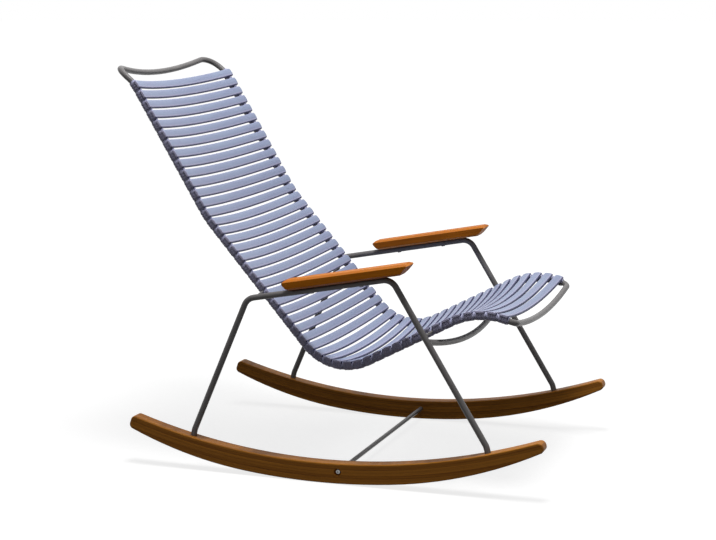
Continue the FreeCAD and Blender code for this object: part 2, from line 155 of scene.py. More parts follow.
@dataclass
class Surface:
    """Points and faces of a closed surface, gathered before they go into a mesh."""

    points: Array
    faces: list[Array]

    @classmethod
    def from_rings(cls, rings: Array) -> "Surface":
        """Close a stack of rings with a fan at each end.

        Args:
            rings: Array of shape (rings, around, 3).

        Returns:
            The surface, with one more point at the middle of each end ring.
        """
        count, around, _ = rings.shape
        middles = [rings[0].mean(axis=0)[None], rings[-1].mean(axis=0)[None]]
        j = np.arange(around)
        fan = np.stack([j, (j + 1) % around, np.full(around, count * around)], axis=-1)
        tail = (count - 1) * around
        return cls(np.concatenate([rings.reshape(-1, 3), *middles]),
                   [grid_faces(count, around), fan[:, ::-1], fan + np.array([tail, tail, 1])])

    def placed(self, matrix: Array) -> "Surface":
        """The surface moved by a 4 by 4 matrix: p' = R p + t."""
        return Surface(self.points @ matrix[:3, :3].T + matrix[:3, 3], self.faces)

    def mirrored(self) -> "Surface":
        """The surface on the other side of the chair, its faces turned to point outwards again."""
        return Surface(self.points * np.array([1.0, -1.0, 1.0]), [face[:, ::-1] for face in self.faces])

    def joined(self, *others: "Surface") -> "Surface":
        """This surface and others as one, their indices shifted past each other.

        Args:
            *others: The other surfaces.

        Returns:
            The joined surface.
        """
        parts = (self, *others)
        shifts = np.cumsum([0] + [len(part.points) for part in parts[:-1]])
        faces = [face + shift for part, shift in zip(parts, shifts) for face in part.faces]
        return Surface(np.concatenate([part.points for part in parts]), faces)

    def to_object(self, name: str) -> Object:
        """Put the surface into a new smooth-shaded object at the origin.

        Args:
            name: The object's name.

        Returns:
            The new object.
        """
        mesh = bpy.data.meshes.new(name)
        loops = np.concatenate([face.reshape(-1) for face in self.faces])
        sizes = np.concatenate([np.full(len(face), face.shape[1]) for face in self.faces])
        mesh.vertices.add(len(self.points))
        mesh.vertices.foreach_set("co", self.points.astype(np.float32).reshape(-1))
        mesh.loops.add(len(loops))
        mesh.loops.foreach_set("vertex_index", loops.astype(np.int32))
        mesh.polygons.add(len(sizes))
        mesh.polygons.foreach_set("loop_start", (np.cumsum(sizes) - sizes).astype(np.int32))
        mesh.polygons.foreach_set("loop_total", sizes.astype(np.int32))
        mesh.polygons.foreach_set("use_smooth", np.ones(len(sizes), dtype=bool))
        mesh.update(calc_edges=True)
        mesh.validate()
        return add_object(name, mesh)


class NodeSheet:
    """A material's or a world's node tree with short ways to add and join its nodes."""

    def __init__(self, name: str, world: bool = False) -> None:
        """Start an empty material or world.

        Args:
            name: Its name.
            world: Whether it is a world.
        """
        self.block = (bpy.data.worlds if world else bpy.data.materials).new(name)
        self.block.use_nodes = True
        self.tree = self.block.node_tree
        self.tree.nodes.clear()
        self.output = self.add("ShaderNodeOutputWorld" if world else "ShaderNodeOutputMaterial")

    def add(self, kind: str, inputs: dict[str | int, object] | None = None,
            **settings: object) -> bpy.types.Node:
        """Add a node.

        Args:
            kind: The node's type.
            inputs: A socket, a number or a colour for each input named or counted here, or
                None where the input stays as it is.
            **settings: The node's own properties.

        Returns:
            The node.
        """
        node = self.tree.nodes.new(kind)
        for key, value in settings.items():
            setattr(node, key, value)
        for key, value in (inputs or {}).items():
            if isinstance(value, Socket):
                self.tree.links.new(value, node.inputs[key])
            elif value is not None:
                node.inputs[key].default_value = (*value, 1.0) if isinstance(value, tuple) else value
        return node

    def math(self, operation: str, *values: object) -> Socket:
        """Work on one or two numbers or sockets with a Math node."""
        return self.add("ShaderNodeMath", dict(enumerate(values)), operation=operation).outputs[0]

    def hypotenuse(self, first: object, second: object) -> Socket:
        """The square root of first squared plus second squared."""
        squares = (self.math("POWER", side, 2.0) for side in (first, second))
        return self.math("SQRT", self.math("ADD", *squares))

    def object_axes(self) -> tuple[Socket, Socket, Socket]:
        """The shading point's X, Y and Z in the chair's frame, in metres."""
        return tuple(self.add("ShaderNodeSeparateXYZ", {"Vector": self.object_point()}).outputs)

    def object_point(self) -> Socket:
        """The shading point in the chair's frame."""
        return self.add("ShaderNodeTexCoord").outputs["Object"]

    def stretched(self, axes: tuple[object, object, object], waves: Triple,
                  shift: object = 0.0) -> Socket:
        """A texture's point: each axis times its own number of waves per metre.

        Args:
            axes: Three numbers or sockets.
            waves: The factor of each.
            shift: Number or socket that is added to the first product.

        Returns:
            The point.
        """
        x, y, z = (self.math("MULTIPLY", axis, count) for axis, count in zip(axes, waves))
        return self.add("ShaderNodeCombineXYZ", {"X": self.math("ADD", x, shift), "Y": y, "Z": z}).outputs[0]

    def noise(self, point: Socket, scale: float = 1.0, detail: float = 4.0,
              roughness: float = 0.55, distortion: float = 0.0) -> Socket:
        """Add a noise texture.

        Args:
            point: Where to read it.
            scale: Waves per metre.
            detail: Octaves.
            roughness: Weight of the finer octaves.
            distortion: How far the waves are bent.

        Returns:
            The noise, about 0 to 1.
        """
        node = self.add("ShaderNodeTexNoise", {"Vector": point, "Scale": scale, "Detail": detail,
                                               "Roughness": roughness, "Distortion": distortion})
        return node.outputs["Fac"]

    def spread(self, value: Socket, low: float, high: float,
               start: float = 0.0, end: float = 1.0) -> Socket:
        """Map low..high to start..end and hold the ends."""
        return self.add("ShaderNodeMapRange", {"Value": value, "From Min": low, "From Max": high,
                                               "To Min": start, "To Max": end}).outputs[0]

    def blend(self, factor: Socket, first: object, second: object) -> Socket:
        """Mix two colours or sockets, by the share of the second."""
        return self.add("ShaderNodeMix", {0: factor, 6: first, 7: second}, data_type="RGBA").outputs[2]

    def bump(self, height: Socket, distance: float, strength: float,
             under: Socket | None = None) -> Socket:
        """Add a bump.

        Args:
            height: The height, about 0 to 1.
            distance: The height of 1, in metres.
            strength: How much of it counts.
            under: Normal of a coarser bump below this one.

        Returns:
            The normal.
        """
        return self.add("ShaderNodeBump", {"Distance": distance, "Strength": strength, "Height": height,
                                           "Normal": under}).outputs[0]

    def end_in(self, shader: bpy.types.Node) -> bpy.types.ID:
        """Link a shader to the output and return the material or the world."""
        self.tree.links.new(shader.outputs[0], self.output.inputs[0])
        return self.block

    def surface(self, color: Socket, roughness: Socket, normal: Socket, **levels: float) -> Material:
        """End the tree in a Principled shader.

        Args:
            color: Base colour.
            roughness: Roughness.
            normal: The bumped normal.
            **levels: Other inputs by name, with spaces as underscores.

        Returns:
            The material.
        """
        others = {key.replace("_", " "): value for key, value in levels.items()}
        return self.end_in(self.add("ShaderNodeBsdfPrincipled", {"Base Color": color, "Roughness": roughness,
                                                                 "Normal": normal, **others}))


@dataclass(frozen=True)
class PowderCoat:
    """Dark grey powder coat with a fine orange-peel skin. A bump is a height and a strength."""

    deep: Triple = (0.138, 0.130, 0.131)
    pale: Triple = (0.190, 0.181, 0.179)
    roughness: Pair = (0.29, 0.41)
    specular: float = 0.25
    cloud_scale: float = 14.0
    peel_scale: float = 420.0
    peel_bump: Pair = (0.06 * MM, 0.5)
    grain_scale: float = 1500.0
    grain_bump: Pair = (0.03 * MM, 0.6)
    specks: Span = (0.62, 0.75, 0.0, 0.35)

    def material(self) -> Material:
        """Build the coat.

        Returns:
            The material.
        """
        sheet = NodeSheet("powder_coat")
        point = sheet.object_point()
        cloud = sheet.noise(point, self.cloud_scale, detail=3.0)
        grain = sheet.noise(point, self.grain_scale, detail=2.0)
        color = sheet.blend(sheet.spread(cloud, *NOISE_SPAN), self.deep, self.pale)
        color = sheet.blend(sheet.spread(grain, *self.specks), color, self.pale)
        rough = sheet.spread(cloud, *NOISE_SPAN, *self.roughness)
        peel = sheet.bump(sheet.noise(point, self.peel_scale, detail=2.0), *self.peel_bump)
        return sheet.surface(color, rough, sheet.bump(grain, *self.grain_bump, peel),
                             Specular_IOR_Level=self.specular)


@dataclass(frozen=True)
class MouldedPlastic:
    """Matte greyish-blue plastic with a fine eroded skin and faint lengthwise streaks; an attribute paints a
    paler clip tone (painted light) and a deep tone on the slats' sides (painted shade).
    """

    color: Triple = (0.275, 0.325, 0.470)
    faded: Triple = (0.315, 0.375, 0.505)
    shaded: Triple = (0.250, 0.272, 0.432)
    # Paler copy of the same plastic on clips, collars and strip ends: painted light.
    clip: Triple = (0.435, 0.425, 0.600)
    # Deep tone on the slats' sides: painted shade.
    under: Triple = (0.030, 0.036, 0.105)
    roughness: Pair = (0.36, 0.50)
    specular: float = 0.22
    flow_waves: Triple = (60.0, 9.0, 60.0)
    flow_span: Pair = (0.35, 0.68)
    cloud_scale: float = 7.0
    cloud_shares: Pair = (0.35, 0.65)
    skin_scale: float = 1100.0
    skin_bump: Pair = (0.05 * MM, 0.55)

    def material(self) -> Material:
        """Build the plastic; the slats' own attribute says where the painted light and painted shade lie.

        Returns:
            The material.
        """
        sheet = NodeSheet("moulded_plastic")
        point = sheet.object_point()
        flow = sheet.noise(sheet.stretched(sheet.object_axes(), self.flow_waves), roughness=0.6)
        cloud = sheet.noise(point, self.cloud_scale, detail=3.0)
        skin = sheet.noise(point, self.skin_scale, detail=3.0, roughness=0.6)
        color = sheet.blend(sheet.spread(flow, *self.flow_span), self.shaded, self.faded)
        color = sheet.blend(sheet.spread(cloud, *NOISE_SPAN, *self.cloud_shares), color, self.color)
        # The attribute's 0 to 1 blends in the clip tone, painted light; its 1 to 2 blends in the deep tone,
        # painted shade.
        share = sheet.add("ShaderNodeAttribute", attribute_name=PAINTED_LIGHT_AND_SHADE).outputs["Fac"]
        color = sheet.blend(sheet.spread(share, 0.0, 1.0), color, self.clip)
        color = sheet.blend(sheet.spread(share, 1.0, 2.0), color, self.under)
        rough = sheet.spread(flow, *NOISE_SPAN, *self.roughness)
        return sheet.surface(color, rough, sheet.bump(skin, *self.skin_bump),
                             Specular_IOR_Level=self.specular)


@dataclass(frozen=True)
class StripWood:
    """Wood glued up from long thin strips, with pores and streaks along the strips.

    The waves of a pattern are per metre along the grain, across the board and below its top.
    """

    name: str
    dark: Triple
    light: Triple
    glue: Triple
    strip: float
    roughness: Pair = (0.40, 0.56)
    specular: float = 0.12
    wander: Pair = (-0.6 * MM, 0.6 * MM)
    wander_waves: Triple = (3.0, 1.0, 0.0)
    streak_waves: Triple = (5.0, 210.0, 330.0)
    broad_waves: Triple = (2.2, 40.0, 70.0)
    pore_waves: Triple = (42.0, 1500.0, 1500.0)
    strip_shift: float = 7.0
    tone_shares: Triple = (0.55, 0.35, 0.22)
    tone_span: Pair = (0.34, 0.80)
    pores: Span = (0.60, 0.72, 0.0, 0.45)
    seams: Span = (0.455, 0.495, 0.0, 0.6)
    streak_bump: Pair = (0.22 * MM, 0.35)
    pore_bump: Pair = (0.10 * MM, 0.5)

    def dress(self, sheet: NodeSheet, *axes: Socket) -> Material:
        """Colour and bump from three lengths measured in the board.

        The tone is the sum of the streaks, the broad bands and each strip's own number, each
        times its share.

        Args:
            sheet: The node tree.
            *axes: Length along the grain, width across the board, and distance below its top
                face, which crosses the strips.

        Returns:
            The material.
        """
        wander = sheet.noise(sheet.stretched(axes, self.wander_waves), detail=2.0)
        depth = sheet.math("ADD", axes[2], sheet.spread(wander, *NOISE_SPAN, *self.wander))
        layer = sheet.math("DIVIDE", depth, self.strip)
        number = sheet.math("FLOOR", layer)
        own = sheet.add("ShaderNodeTexWhiteNoise", {"W": number}, noise_dimensions="1D").outputs[0]
        shift = sheet.math("MULTIPLY", own, self.strip_shift)
        streak = sheet.noise(sheet.stretched(axes, self.streak_waves, shift), detail=5.0,
                             roughness=0.62, distortion=0.4)
        broad = sheet.noise(sheet.stretched(axes, self.broad_waves, shift), detail=3.0)
        pore = sheet.noise(sheet.stretched(axes, self.pore_waves), detail=3.0, roughness=0.6)
        tones = [sheet.math("MULTIPLY", *pair) for pair in zip((streak, broad, own), self.tone_shares)]
        tone = sheet.math("ADD", sheet.math("ADD", tones[0], tones[1]), tones[2])
        color = sheet.blend(sheet.spread(tone, *self.tone_span), self.dark, self.light)
        color = sheet.blend(sheet.spread(pore, *self.pores), color, self.glue)
        seam = sheet.math("ABSOLUTE", sheet.math("SUBTRACT", sheet.math("FRACT", layer), 0.5))
        color = sheet.blend(sheet.spread(seam, *self.seams), color, self.glue)
        rough = sheet.spread(streak, *NOISE_SPAN, *self.roughness)
        coarse = sheet.bump(streak, *self.streak_bump)
        normal = sheet.bump(sheet.math("SUBTRACT", 1.0, pore), *self.pore_bump, coarse)
        return sheet.surface(color, rough, normal, Specular_IOR_Level=self.specular)


@dataclass(frozen=True)
class FastenerSteel:
    """Steel of the fasteners, faintly clouded."""

    name: str
    color: Triple
    cloud: Triple
    roughness: Pair = (0.22, 0.42)
    cloud_scale: float = 260.0
    skin_scale: float = 2600.0
    skin_bump: Pair = (0.02 * MM, 0.5)

    def material(self) -> Material:
        """Build the steel.

        Returns:
            The material.
        """
        sheet = NodeSheet(self.name)
        point = sheet.object_point()
        cloud = sheet.noise(point, self.cloud_scale, detail=3.0)
        color = sheet.blend(sheet.spread(cloud, *NOISE_SPAN), self.color, self.cloud)
        rough = sheet.spread(cloud, *NOISE_SPAN, *self.roughness)
        normal = sheet.bump(sheet.noise(point, self.skin_scale, detail=2.0), *self.skin_bump)
        return sheet.surface(color, rough, normal, Metallic=1.0)


def put_on(piece: Object, material: Material) -> None:
    """Give an object one material in all its slots."""
    piece.data.materials.clear()
    piece.data.materials.append(material)


def add_piece(piece: Object, slot: Slot, material: Material, *replaced: str) -> None:
    """Tie a new piece to the chair.

    Args:
        piece: The new object.
        slot: Not used.
        material: Its material.
        *replaced: The nodes it stands for.
    """
    put_on(piece, material)
    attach(piece, ROOT_BODY)
    if replaced:
        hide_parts(*replaced)
    LOG.info("%s: %d faces, for %s", piece.name, len(piece.data.polygons), ", ".join(replaced) or "nothing")


@dataclass
class RailLine:
    """Side view of the seat frame's rails: straight runs joined by arcs, from the head end down.

    A run ends where its length says and turns to the next heading; each inner corner is
    rounded by an arc that touches both runs, r tan(turn / 2) from the corner. The rail starts
    and ends a short straight piece beyond its first and last arcs, and its line runs on
    straight past both ends.
    """

    seat_corner: Pair = (12.0 * MM, 225.8 * MM)
    head_heading: float = 141.8
    upper_heading: float = 120.6
    lower_heading: float = 130.6
    seat_heading: float = 27.8
    nose_heading: float = -17.1
    upper_length: float = 354.0 * MM
    lower_length: float = 467.0 * MM
    seat_length: float = 386.5 * MM
    head_straight: float = 2.1 * MM
    nose_straight: float = 0.5 * MM
    radii: tuple[float, ...] = (80.0 * MM, 240.0 * MM, 122.0 * MM, 168.0 * MM)
    overrun: float = 20.0 * MM
    steps_per_metre: float = 4000.0
    line: Array = field(init=False)
    stations: Array = field(init=False)

    def __post_init__(self) -> None:
        """Work out the rail's line once."""
        origin = np.array([roll_point_x(), 0.0])
        seat = np.array(self.seat_corner) + origin
        back = seat + unit_heading(self.lower_heading) * self.lower_length
        neck = back + unit_heading(self.upper_heading) * self.upper_length
        head_bend = self.radii[0] * math.tan(math.radians(self.head_heading - self.upper_heading) / 2)
        head = neck + unit_heading(self.head_heading) * (head_bend + self.head_straight + self.overrun)
        nose = seat + unit_heading(self.seat_heading) * self.seat_length
        nose_bend = self.radii[-1] * math.tan(math.radians(self.seat_heading - self.nose_heading) / 2)
        foot = nose + unit_heading(self.nose_heading) * (nose_bend + self.nose_straight + self.overrun)
        self.line = self.rounded(np.stack([head, neck, back, seat, nose, foot]))
        steps = np.linalg.norm(np.diff(self.line, axis=0), axis=1)
        self.stations = np.concatenate([[0.0], np.cumsum(steps)]) - self.overrun

    def rounded(self, corners: Array) -> Array:
        """Points along the runs and their arcs.

        Args:
            corners: Array of shape (n, 2).

        Returns:
            Array of shape (m, 2).
        """
        stretches = []
        cursor = corners[0]
        for index, radius in enumerate(self.radii):
            before, corner, after = corners[index:index + 3]
            inward = (corner - before) / np.linalg.norm(corner - before)
            outward = (after - corner) / np.linalg.norm(after - corner)
            turn = math.atan2(inward[0] * outward[1] - inward[1] * outward[0], float(inward @ outward))
            tangent = radius * math.tan(abs(turn) / 2)
            start = corner - inward * tangent
            side = math.copysign(1.0, turn)
            centre = start + side * radius * np.array([-inward[1], inward[0]])
            sweep = np.linspace(0.0, turn, max(2, int(abs(turn) * radius * self.steps_per_metre)))
            spoke = start - centre
            turned = np.array([-spoke[1], spoke[0]])
            arc = centre + spokes(sweep) @ np.stack([spoke, turned])
            stretches += [cursor[None], arc]
            cursor = arc[-1]
        stretches.append(corners[-1][None])
        return np.concatenate(stretches)

    @property
    def length(self) -> float:
        """Length of the rail from the top corner's arc to the front corner's."""
        return float(self.stations[-1]) - self.overrun

    def at(self, station: Array | float) -> Array:
        """Points (x, z) at distances along the rail."""
        return np.stack([np.interp(station, self.stations, self.line[:, axis]) for axis in (0, 1)], axis=-1)

    def headings(self, station: Array, span: float = 2.0 * MM) -> Array:
        """Unit directions (x, z) along the rail, from the chord half a span each way."""
        chord = self.at(station + span / 2) - self.at(station - span / 2)
        return chord / np.linalg.norm(chord, axis=-1, keepdims=True)


@dataclass
class Slats:
    """The bowed slats, each with a clip under both ends, spaced evenly along the rails."""

    material: Material
    count: int = 48
    first_station: float = 24.9 * MM
    last_margin: float = 9.7 * MM
    width: float = 21.5 * MM
    thickness: float = 5.8 * MM
    edge_radius: float = 2.0 * MM
    end_radius: float = 1.2 * MM
    crown: float = 1.2 * MM
    corner_radius: float = 4.0 * MM
    half_length: float = 274.0 * MM
    sag: float = 22.0 * MM
    rail_y: float = 264.0 * MM
    bore_clearance: float = 0.3 * MM
    clip_wall: float = 2.5 * MM
    clip_width: float = 18.5 * MM
    clip_rim: float = 0.9 * MM
    groove_place: float = 3.1 * MM
    groove_width: float = 1.5 * MM
    groove_depth: float = 0.8 * MM
    groove_slope: float = 0.3 * MM
    mouth_width: float = 9.0 * MM
    mouth_angle: float = 35.0
    collar_radius: float = 8.9 * MM
    collar_bore: float = 7.15 * MM
    collar_seam: float = 0.5 * MM
    collar_rim: float = 0.4 * MM
    # Depths and ramps of the painted shade on the strip's sides, and of the painted light of the clip tone
    # near its ends.
    foot_painted_shade_depth: float = 0.25 * MM
    head_painted_shade_depth: float = 1.3 * MM
    painted_shade_span: float = 0.5 * MM
    end_painted_light_start: float = 1.2 * MM
    end_painted_light_span: float = 0.6 * MM
    # Share of the paler clip tone on the collars: painted light.
    collar_painted_light: float = 0.75
    sharp_angle: float = 40.0
    edge_points: int = 5
    top_points: int = 7
    end_points: int = 9
    bow_points: int = 34
    rim_points: int = 4
    wrap_points: int = 16
    collar_rim_points: int = 3
    collar_points: tuple[int, int] = (18, 12)

    @property
    def bow_radius(self) -> float:
        """Radius of the bow of the slat's top: (half length^2 + sag^2) / (2 sag)."""
        return (self.half_length ** 2 + self.sag ** 2) / (2 * self.sag)

    @property
    def bore(self) -> float:
        """Radius of a clip's bore."""
        return TUBE_RADIUS + self.bore_clearance

    @property
    def top_middle(self) -> float:
        """Height of the slat's top over the rail's axis, in the middle of the chair."""
        return self.bore + self.thickness - self.sag

    def section(self) -> tuple[Array, Array, Array, Array]:
        """Cross-section: a rounded rectangle whose top is crowned.

        Each corner is a quarter circle; depth grows downwards from the top. The crown
        lowers the top by crown (x / half width)^2.

        Returns:
            x, depth and the outward direction (nx, nd) of every point, once round.
        """
        half = self.width / 2 - self.edge_radius
        low = self.thickness - self.edge_radius
        turn = quarter_turn(self.edge_points) + np.arange(4)[:, None] * math.pi / 2
        middle_x = np.array([half, -half, -half, half])[:, None]
        middle_d = np.array([low, low, self.edge_radius, self.edge_radius])[:, None]
        out_x, out_d = np.cos(turn), np.sin(turn)
        corners = np.stack([middle_x + self.edge_radius * out_x, middle_d + self.edge_radius * out_d,
                            out_x, out_d])
        before, after = np.split(corners.reshape(4, -1), [3 * turn.shape[1]], axis=1)
        flat = np.linspace(-half, half, self.top_points)[1:-1]
        top = np.stack([flat, 0 * flat, 0 * flat, 0 * flat - 1])
        across, down, out_x, out_d = np.concatenate([before, top, after], axis=1)
        down = down + (1 - down / self.thickness) * self.crown * (across / (self.width / 2)) ** 2
        return across, down, out_x, out_d

    def strip(self) -> Surface:
        """The bowed strip about the rail's axis.

        A point at arc length s and depth d lies at y = (R + d) sin(s / R) and
        z = top + R - (R + d) cos(s / R). Near an end, at e from it, the plan corners take
        r - sqrt(r^2 - (r - e)^2) off the half width, and the end's own rounding is the
        same formula with its smaller radius, all round.

        Returns:
            The closed strip.
        """
        reach = self.bow_radius * math.asin(self.half_length / self.bow_radius)
        turn = quarter_turn(self.end_points)
        from_end = np.unique(np.concatenate([self.corner_radius * (1 - np.cos(turn)),
                                             self.end_radius * (1 - np.cos(turn[::2]))]))
        middle = np.linspace(-reach + self.corner_radius, reach - self.corner_radius, self.bow_points)[1:-1]
        station = np.concatenate([-reach + from_end, middle, (reach - from_end)[::-1]])
        left = reach - np.abs(station)
        plan_inset, edge_inset = (radius - np.sqrt(radius ** 2 - np.clip(radius - left, 0.0, None) ** 2)
                                  for radius in (self.corner_radius, self.end_radius))
        across, down, out_x, out_d = self.section()
        squeeze = 1 - plan_inset / (self.width / 2)
        x = across[None] * squeeze[:, None] - out_x[None] * edge_inset[:, None]
        depth = down[None] - out_d[None] * edge_inset[:, None]
        angle = (station / self.bow_radius)[:, None]
        y = (self.bow_radius + depth) * np.sin(angle)
        z = self.top_middle + self.bow_radius - (self.bow_radius + depth) * np.cos(angle)
        return Surface.from_rings(np.stack([x, y, z], axis=-1))

    def mouth(self, bore: float) -> Pair:
        """Angles of the mouth's two lips about the rail's axis.

        Args:
            bore: Radius at which the mouth is as wide as it should be.

        Returns:
            The lower lip's angle and the upper one's.
        """
        slope = math.atan2(2 * self.sag * self.rail_y, self.half_length ** 2 - self.sag ** 2)
        middle = math.pi + math.radians(self.mouth_angle) + slope
        gap = math.asin(self.mouth_width / 2 / bore)
        return middle + gap, middle - gap

    @staticmethod
    def outward_of(points: Array) -> Array:
        """Outward directions of a closed outline that runs anticlockwise.

        Args:
            points: Its points (y, z).

        Returns:
            A unit vector for each.
        """
        ahead = np.roll(points, -1, axis=0) - np.roll(points, 1, axis=0)
        ahead /= np.linalg.norm(ahead, axis=1)[:, None]
        return np.stack([ahead[:, 1], -ahead[:, 0]], axis=-1)

    def clip_outline(self) -> Array:
        """Outline (y, z) of the left clip about the rail's axis, once round.

        It runs from the mouth's lower lip round under the rail and up the outer side to the
        slat, back along the slat's underside, down the inner side to the upper lip, and
        returns along the bore.

        Returns:
            Points of shape (n, 2).
        """
        outer = self.bore + self.clip_wall
        lower, upper = self.mouth(self.bore)
        pad = self.bore + self.thickness / 3
        wrap = outer * spokes(np.linspace(lower, 2 * math.pi, self.wrap_points))
        top = np.array([[outer, pad / 2], [outer, pad], [0.0, pad], [-outer, pad], [-outer, pad / 2]])
        drop = outer * spokes(np.linspace(math.pi, upper, self.rim_points))
        hole = self.bore * spokes(np.linspace(upper, lower - 2 * math.pi, self.wrap_points))
        return np.concatenate([wrap, top, drop, hole])

    def clip(self, side: Side) -> Surface:
        """One clip: its outline carried along the rail, with rounded rims and two grooves.

        The rim at e from an end face is drawn in by r - sqrt(r^2 - (r - e)^2), and the grooves
        lower the outside alone.

        Args:
            side: Which rail it holds.

        Returns:
            The closed clip.
        """
        points = self.clip_outline()
        outward = self.outward_of(points)
        outside = np.linalg.norm(points, axis=1) > self.bore + self.clip_wall / 2
        half = self.clip_width / 2
        turn = quarter_turn(self.rim_points)
        foot, rim_of_groove = self.groove_width / 2, self.groove_width / 2 + self.groove_slope
        edges = self.groove_place + np.array([rim_of_groove, foot, -foot, -rim_of_groove])
        right = np.concatenate([half - self.clip_rim * (1 - np.cos(turn)), edges])
        rim = np.pad(self.clip_rim * (1 - np.sin(turn)), (0, len(edges)))
        groove = np.pad(self.groove_depth * np.array([0.0, 1.0, 1.0, 0.0]), (len(turn), 0))
        x = np.concatenate([-right, right[::-1]])
        rim, groove = (np.concatenate([row, row[::-1]]) for row in (rim, groove))
        drawn = rim[:, None] + groove[:, None] * outside[None]
        outline = points[None] - outward[None] * drawn[..., None]
        length = np.broadcast_to(x[:, None], outline.shape[:2])
        body = self.ringed(np.stack([length, outline[..., 0] + self.rail_y, outline[..., 1]], axis=-1))
        return body if side is Side.LEFT else body.mirrored()

    def collars(self, rail: RailLine, station: float, pitch: float) -> Surface:
        """The thin collars that fill the room between a slat's clips and its neighbours'.

        Each is a C-shaped ring carried along the rail's own line, so it bends where the
        rail bends: its point at (y, z) of the outline and a station lies at
        P + z N, with N square to the rail. Its free rim is drawn in by
        r - sqrt(r^2 - (r - e)^2) at e from the end.

        Args:
            rail: The rails' side view.
            station: The slat's place along the rail.
            pitch: Distance to the next slat.

        Returns:
            Four collars, in the chair's frame.
        """
        lower, upper = self.mouth(self.collar_bore)
        upper += 2 * math.pi
        outer, inner = self.collar_points
        outline = np.concatenate([self.collar_radius * spokes(np.linspace(lower, upper, outer)),
                                  self.collar_bore * spokes(np.linspace(upper, lower, inner))])
        outward = self.outward_of(outline)
        turn = quarter_turn(self.collar_rim_points)[::-1]
        free_end = (pitch - self.collar_seam) / 2 - self.collar_rim * (1 - np.cos(turn))
        reaches = np.concatenate([[self.clip_width / 2 - self.clip_rim], free_end])
        drawn = np.concatenate([[0.0], self.collar_rim * (1 - np.sin(turn))])
        made = []
        for ahead in (1, -1):
            places, inset = station + ahead * reaches[::ahead], drawn[::ahead]
            middle, along = rail.at(places)[:, None], rail.headings(places)[:, None]
            shape = outline[None] - outward[None] * inset[:, None, None]
            left = self.ringed(np.stack([middle[..., 0] - along[..., 1] * shape[..., 1],
                                         self.rail_y + shape[..., 0],
                                         middle[..., 1] + along[..., 0] * shape[..., 1]], axis=-1))
            made += [left, left.mirrored()]
        return made[0].joined(*made[1:])

    @staticmethod
    def ringed(rings: Array) -> Surface:
        """Close a stack of C-shaped rings with flat end faces.

        Args:
            rings: Array of shape (rings, around, 3).

        Returns:
            The surface, its ends single faces.
        """
        count, around, _ = rings.shape
        first = np.arange(around)[None, ::-1]
        last = np.arange(around)[None] + (count - 1) * around
        return Surface(rings.reshape(-1, 3), [grid_faces(count, around), first, last])

    def strip_painted_light_and_shade(self, strip: Surface) -> Array:
        """How far each point of the strip takes painted shade on its sides and painted light at its ends.

        It rises from 0 to 2, the deep tone of painted shade, with depth below the bowed top,
        top + R - |P - axis|, sooner on the side towards the foot, and falls back to 0 at the plain
        underside. Shortly before the clips' outer faces it goes to 1, the paler clip tone of painted light.

        Args:
            strip: The strip about the rail's axis.

        Returns:
            One number for each point.
        """
        reach = np.abs(strip.points[:, 1])
        height = self.top_middle + self.bow_radius - strip.points[:, 2]
        depth = np.hypot(reach, height) - self.bow_radius
        face = self.rail_y + self.bore + self.clip_wall
        start = np.where(strip.points[:, 0] > 0, self.foot_painted_shade_depth, self.head_painted_shade_depth)
        # Deep tone on the sides: painted shade.
        under = 2.0 * np.clip((depth - start) / self.painted_shade_span, 0.0, 1.0)
        under *= np.clip((self.thickness - depth) / self.painted_shade_span, 0.0, 1.0)
        # Paler clip tone near the clip faces: painted light.
        end = np.clip((reach - face + self.end_painted_light_start) / self.end_painted_light_span, 0.0, 1.0)
        return np.where(reach > face - self.painted_shade_span, np.maximum(np.minimum(under, 1.0), end), under)

    def placement(self, rail: RailLine, station: float) -> Array:
        """Matrix that carries a slat from the origin to its place on the rails.

        Its width lies along the chord between its clips' two faces, and its middle lies halfway
        between the chord and the rail's line.

        Args:
            rail: The rails' side view.
            station: Distance along the rail.

        Returns:
            A 4 by 4 matrix.
        """
        before, after = rail.at(station - self.clip_width / 2), rail.at(station + self.clip_width / 2)
        along = (after - before) / np.linalg.norm(after - before)
        return side_matrix(along, ((before + after) / 2 + rail.at(station)) / 2)

    def build(self, rail: RailLine) -> None:
        """Make every slat and tie it to its node.

        Args:
            rail: The rails' side view.
        """
        strip = self.strip()
        model = strip.joined(self.clip(Side.LEFT), self.clip(Side.RIGHT))
        # Clips take 1, the paler clip tone: painted light.
        share = np.concatenate([self.strip_painted_light_and_shade(strip), np.ones(len(model.points) - len(strip.points))])
        pitch = (rail.length - self.first_station - self.last_margin) / (self.count - 1)
        for index in range(self.count):
            number = f"{index + 1:02d}"
            station = self.first_station + index * pitch
            slat = model.placed(self.placement(rail, station))
            piece = slat.joined(self.collars(rail, station, pitch)).to_object(f"bowed_slat_{number}")
            # Collars take part of the paler clip tone, painted light; the attribute carries the painted
            # light and shade to the plastic.
            ends = np.full(len(piece.data.vertices) - len(share), self.collar_painted_light)
            deep = piece.data.attributes.new(PAINTED_LIGHT_AND_SHADE, "FLOAT", "POINT")
            deep.data.foreach_set("value", np.concatenate([share, ends]).astype(np.float32))
            piece.data.set_sharp_from_angle(angle=math.radians(self.sharp_angle))
            add_piece(piece, Slot.SLAT, self.material, f"slat_{number}")


